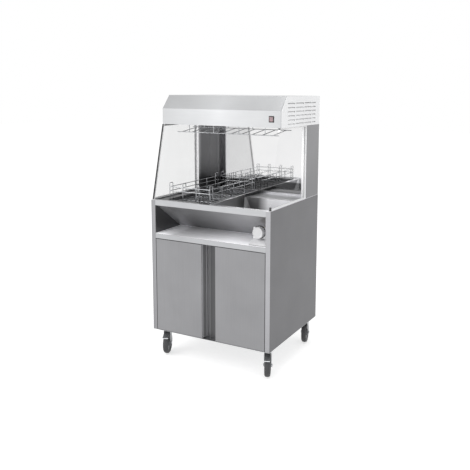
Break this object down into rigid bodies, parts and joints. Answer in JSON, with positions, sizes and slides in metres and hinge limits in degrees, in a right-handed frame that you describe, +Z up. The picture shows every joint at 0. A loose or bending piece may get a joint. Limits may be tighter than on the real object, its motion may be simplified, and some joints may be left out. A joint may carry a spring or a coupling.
{
  "type": "french fry dump station",
  "caption": "Stainless fry dump station on casters: cabinet with doors and storage slot, fry basin, wire carton rack, side glasses, heated hood with lamps and switch.",
  "frame": {"origin": "on the floor, under the centre of the box round the whole object", "axes": "X to the right as seen from the front, Y to the back, Z up"},
  "size_m": [0.75, 0.6537, 1.498],
  "materials": {
    "brushed_sheet": "brushed stainless sheet",
    "polished_sheet": "mirror-polished stainless sheet",
    "bright_wire": "bright welded wire",
    "zinc_steel": "zinc-plated steel",
    "clear_glass": "clear toughened glass",
    "black_rubber": "dark edge trim",
    "ivory_plastic": "moulded housing",
    "black_plastic": "black moulding",
    "white_plastic": "white moulding",
    "red_plastic": "red translucent rocker",
    "quartz_tube": "quartz tube with ceramic ends",
    "grey_tyre": "dark grey tread on a plastic hub"
  },
  "bodies": {
    "cabinet": {"right_side_panel": "brushed_sheet", "left_side_panel": "brushed_sheet", "cabinet_back": "brushed_sheet", "cabinet_bottom": "brushed_sheet", "front_top_rail": "brushed_sheet", "mid_rail": "brushed_sheet", "storage_shelf": "brushed_sheet", "control_bracket": "brushed_sheet", "centre_post": "brushed_sheet", "inner_shelf": "brushed_sheet", "worktop": "brushed_sheet", "rack_well": "brushed_sheet", "heater_plate": "brushed_sheet", "right_wing": "brushed_sheet", "left_wing": "brushed_sheet", "rear_cover": "brushed_sheet", "hood_shell": "brushed_sheet", "hood_right_end": "brushed_sheet", "hood_left_end": "brushed_sheet", "mirror_panel": "polished_sheet", "lamp_reflector": "polished_sheet", "lamp_guard": "bright_wire", "right_top_hinge_pin": "zinc_steel", "left_top_hinge_pin": "zinc_steel", "right_bottom_hinge_pin": "zinc_steel", "left_bottom_hinge_pin": "zinc_steel", "right_glass": "clear_glass", "left_glass": "clear_glass", "right_glass_trim": "black_rubber", "left_glass_trim": "black_rubber", "thermostat_body": "ivory_plastic", "thermostat_bezel": "black_plastic", "switch_frame": "black_plastic", "front_lamp": "quartz_tube", "rear_lamp": "quartz_tube", "front_left_caster_mount": "zinc_steel", "front_right_caster_mount": "zinc_steel", "rear_left_caster_mount": "zinc_steel", "rear_right_caster_mount": "zinc_steel"},
    "right_door": {"right_door": "brushed_sheet"},
    "left_door": {"left_door": "brushed_sheet"},
    "thermostat_knob": {"thermostat_knob": "white_plastic"},
    "switch_rocker": {"switch_rocker": "red_plastic"},
    "dump_basin": {"dump_basin": "brushed_sheet"},
    "scoop_plate": {"scoop_plate": "brushed_sheet"},
    "carton_rack": {"carton_rack": "bright_wire"},
    "front_left_caster": {"front_left_caster_fork": "zinc_steel", "front_left_caster_axle": "zinc_steel"},
    "front_left_wheel": {"front_left_caster_wheel": "grey_tyre"},
    "front_left_brake": {"front_left_brake_pedal": "zinc_steel"},
    "front_right_caster": {"front_right_caster_fork": "zinc_steel", "front_right_caster_axle": "zinc_steel"},
    "front_right_wheel": {"front_right_caster_wheel": "grey_tyre"},
    "front_right_brake": {"front_right_brake_pedal": "zinc_steel"},
    "rear_left_caster": {"rear_left_caster_fork": "zinc_steel", "rear_left_caster_axle": "zinc_steel"},
    "rear_left_wheel": {"rear_left_caster_wheel": "grey_tyre"},
    "rear_right_caster": {"rear_right_caster_fork": "zinc_steel", "rear_right_caster_axle": "zinc_steel"},
    "rear_right_wheel": {"rear_right_caster_wheel": "grey_tyre"}
  },
  "joints": [
    {"name": "right_door_hinge", "type": "hinge", "parent": "cabinet", "child": "right_door", "pos_m": [0.3415, -0.32074, 0.43], "axis": [0, 0, 1], "range_deg": [0, 110]},
    {"name": "left_door_hinge", "type": "hinge", "parent": "cabinet", "child": "left_door", "pos_m": [-0.3415, -0.32074, 0.43], "axis": [0, 0, -1], "range_deg": [0, 110]},
    {"name": "knob_turn", "type": "hinge", "parent": "cabinet", "child": "thermostat_knob", "pos_m": [0.285, -0.28274, 0.791], "axis": [0, 1, 0], "range_deg": [0, 270]},
    {"name": "switch_rock", "type": "hinge", "parent": "cabinet", "child": "switch_rocker", "pos_m": [0.3165, -0.20504, 1.38], "axis": [-1, 0, 0], "range_deg": [0, 12]},
    {"name": "basin_lift", "type": "slide", "parent": "cabinet", "child": "dump_basin", "axis": [0, 0, 1], "range_m": [0, 0.2]},
    {"name": "scoop_lift", "type": "slide", "parent": "dump_basin", "child": "scoop_plate", "axis": [0, 0, 1], "range_m": [0, 0.15]},
    {"name": "rack_lift", "type": "slide", "parent": "cabinet", "child": "carton_rack", "axis": [0, 0, 1], "range_m": [0, 0.15]},
    {"name": "front_left_swivel", "type": "hinge", "parent": "cabinet", "child": "front_left_caster", "pos_m": [-0.329, -0.24674, 0.14], "axis": [0, 0, 1], "continuous": true},
    {"name": "front_left_wheel_spin", "type": "hinge", "parent": "front_left_caster", "child": "front_left_wheel", "pos_m": [-0.32113, -0.26621, 0.0625], "axis": [0.9272, 0.3746, 0], "continuous": true},
    {"name": "front_left_brake_press", "type": "hinge", "parent": "front_left_caster", "child": "front_left_brake", "pos_m": [-0.31889, -0.27177, 0.1335], "axis": [0.9272, 0.3746, 0], "range_deg": [0, 5]},
    {"name": "front_right_swivel", "type": "hinge", "parent": "cabinet", "child": "front_right_caster", "pos_m": [0.329, -0.24674, 0.14], "axis": [0, 0, 1], "continuous": true},
    {"name": "front_right_wheel_spin", "type": "hinge", "parent": "front_right_caster", "child": "front_right_wheel", "pos_m": [0.33687, -0.26621, 0.0625], "axis": [0.9272, 0.3746, 0], "continuous": true},
    {"name": "front_right_brake_press", "type": "hinge", "parent": "front_right_caster", "child": "front_right_brake", "pos_m": [0.33911, -0.27177, 0.1335], "axis": [0.9272, 0.3746, 0], "range_deg": [0, 5]},
    {"name": "rear_left_swivel", "type": "hinge", "parent": "cabinet", "child": "rear_left_caster", "pos_m": [-0.329, 0.24526, 0.14], "axis": [0, 0, 1], "continuous": true},
    {"name": "rear_left_wheel_spin", "type": "hinge", "parent": "rear_left_caster", "child": "rear_left_wheel", "pos_m": [-0.33408, 0.26564, 0.0625], "axis": [-0.9703, -0.2419, 0], "continuous": true},
    {"name": "rear_right_swivel", "type": "hinge", "parent": "cabinet", "child": "rear_right_caster", "pos_m": [0.329, 0.24526, 0.14], "axis": [0, 0, 1], "continuous": true},
    {"name": "rear_right_wheel_spin", "type": "hinge", "parent": "rear_right_caster", "child": "rear_right_wheel", "pos_m": [0.32392, 0.26564, 0.0625], "axis": [-0.9703, -0.2419, 0], "continuous": true}
  ]
}
